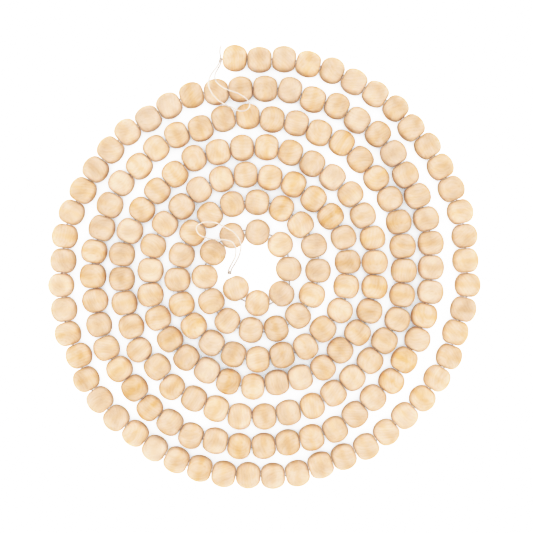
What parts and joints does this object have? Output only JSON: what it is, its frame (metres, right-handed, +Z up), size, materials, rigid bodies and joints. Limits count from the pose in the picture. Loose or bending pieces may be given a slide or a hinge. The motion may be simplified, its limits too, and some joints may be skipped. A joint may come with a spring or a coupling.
{
  "type": "wood bead garland",
  "caption": "Strand of round natural wood beads on a white string, knotted into a hanging loop at each end and laid down as a flat spiral.",
  "frame": {"origin": "middle of the coiled beads' outline, on the surface that they lie on", "axes": "+Z up from the surface, +Y towards the side where the outer end's knot lies, +X to the right of that seen from above; the string runs clockwise inwards"},
  "size_m": [0.2634, 0.2704, 0.0173],
  "materials": {
    "wood": "bare pale wood, sanded smooth, with a satin sheen and fine grain",
    "string": "thin white twisted string"
  },
  "bodies": {
    "root": {"beads_01": "wood", "beads_02": "wood", "beads_03": "wood", "beads_04": "wood", "beads_05": "wood", "beads_06": "wood", "beads_07": "wood", "beads_08": "wood", "beads_09": "wood", "beads_10": "wood", "beads_11": "wood", "beads_12": "wood", "beads_13": "wood", "beads_14": "wood", "beads_15": "wood", "beads_16": "wood", "beads_17": "wood", "beads_18": "wood", "beads_19": "wood", "beads_20": "wood", "beads_21": "wood", "beads_22": "wood", "beads_23": "wood", "beads_24": "wood", "beads_25": "wood", "beads_26": "wood", "beads_27": "wood", "beads_28": "wood", "beads_29": "wood", "beads_30": "wood", "beads_31": "wood", "beads_32": "wood", "beads_33": "wood", "beads_34": "wood", "beads_35": "wood", "beads_36": "wood", "beads_37": "wood", "beads_38": "wood", "beads_39": "wood", "beads_40": "wood", "beads_41": "wood", "beads_42": "wood", "beads_43": "wood", "beads_44": "wood", "beads_45": "wood", "beads_46": "wood", "beads_47": "wood", "beads_48": "wood", "beads_49": "wood", "beads_50": "wood", "beads_51": "wood", "beads_52": "wood", "beads_53": "wood", "beads_54": "wood", "beads_55": "wood", "knot_outer": "string", "knot_inner": "string", "loop_outer": "string", "loop_inner": "string"}
  },
  "joints": []
}
